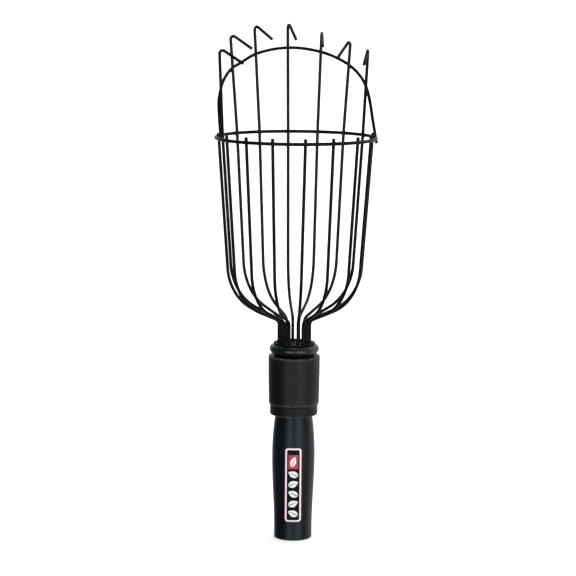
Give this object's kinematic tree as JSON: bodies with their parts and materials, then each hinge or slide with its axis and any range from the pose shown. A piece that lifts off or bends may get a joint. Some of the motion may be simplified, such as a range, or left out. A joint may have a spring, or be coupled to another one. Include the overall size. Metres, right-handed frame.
{
  "type": "fruit picker basket",
  "caption": "Long-pole fruit picker head: round welded wire basket, low at the front, with picking hooks on its tall back wires, in a moulded head on a barrel handle with a screw-down collar.",
  "frame": {"origin": "centre of the pole socket's mouth, on the flat foot of the handle", "axes": "+Z along the handle towards the basket, -Y towards the basket's low open side, +X to the right when looking into the open side"},
  "size_m": [0.1547, 0.1608, 0.4846],
  "materials": {
    "coated_wire": "satin black powder coat on steel rod",
    "moulded_black": "moulded, semi-gloss",
    "bumper_rubber": "smooth rubber with a sheen",
    "matte_collar": "fine matte grain",
    "gloss_grip": "blue-black, semi-gloss",
    "socket_nylon": "glass-filled nylon, cut thread",
    "tube_aluminium": "drawn tube",
    "zinc_steel": "bright zinc plate",
    "white_nylon": "natural nylon",
    "label_print": "laminated plain print"
  },
  "bodies": {
    "handle": {"seat_gasket": "bumper_rubber", "spigot": "moulded_black", "spigot_pins": "zinc_steel", "handle_tube": "tube_aluminium", "grip": "gloss_grip", "pole_socket": "socket_nylon", "socket_pins": "zinc_steel", "label_plate": "label_print"},
    "head": {"tall_wire_1": "coated_wire", "tall_wire_2": "coated_wire", "tall_wire_3": "coated_wire", "tall_wire_4": "coated_wire", "tall_wire_5": "coated_wire", "tall_wire_6": "coated_wire", "tall_wire_7": "coated_wire", "short_wire_1": "coated_wire", "short_wire_2": "coated_wire", "short_wire_3": "coated_wire", "short_wire_4": "coated_wire", "short_wire_5": "coated_wire", "short_wire_6": "coated_wire", "short_wire_7": "coated_wire", "short_wire_8": "coated_wire", "short_wire_9": "coated_wire", "rim_ring": "coated_wire", "arch_hoop": "coated_wire", "head_cap": "moulded_black", "head_hub": "moulded_black", "bumper_ring": "bumper_rubber", "clamp_plate": "zinc_steel", "clamp_screw": "zinc_steel", "screw_washer": "zinc_steel", "thrust_washer": "white_nylon"},
    "collar": {"collar_nut": "matte_collar"}
  },
  "joints": [
    {"name": "head_lift", "type": "slide", "parent": "handle", "child": "head", "axis": [0, 0, 1], "range_m": [0, 0.016]},
    {"name": "collar_turn", "type": "hinge", "parent": "head", "child": "collar", "pos_m": [0, 0, 0.15], "axis": [0, 0, 1], "range_deg": [0, 1440]}
  ],
  "couplings": [
    {"joint": "collar_turn", "follows": "head_lift", "rad_per_m": 1570.8}
  ]
}
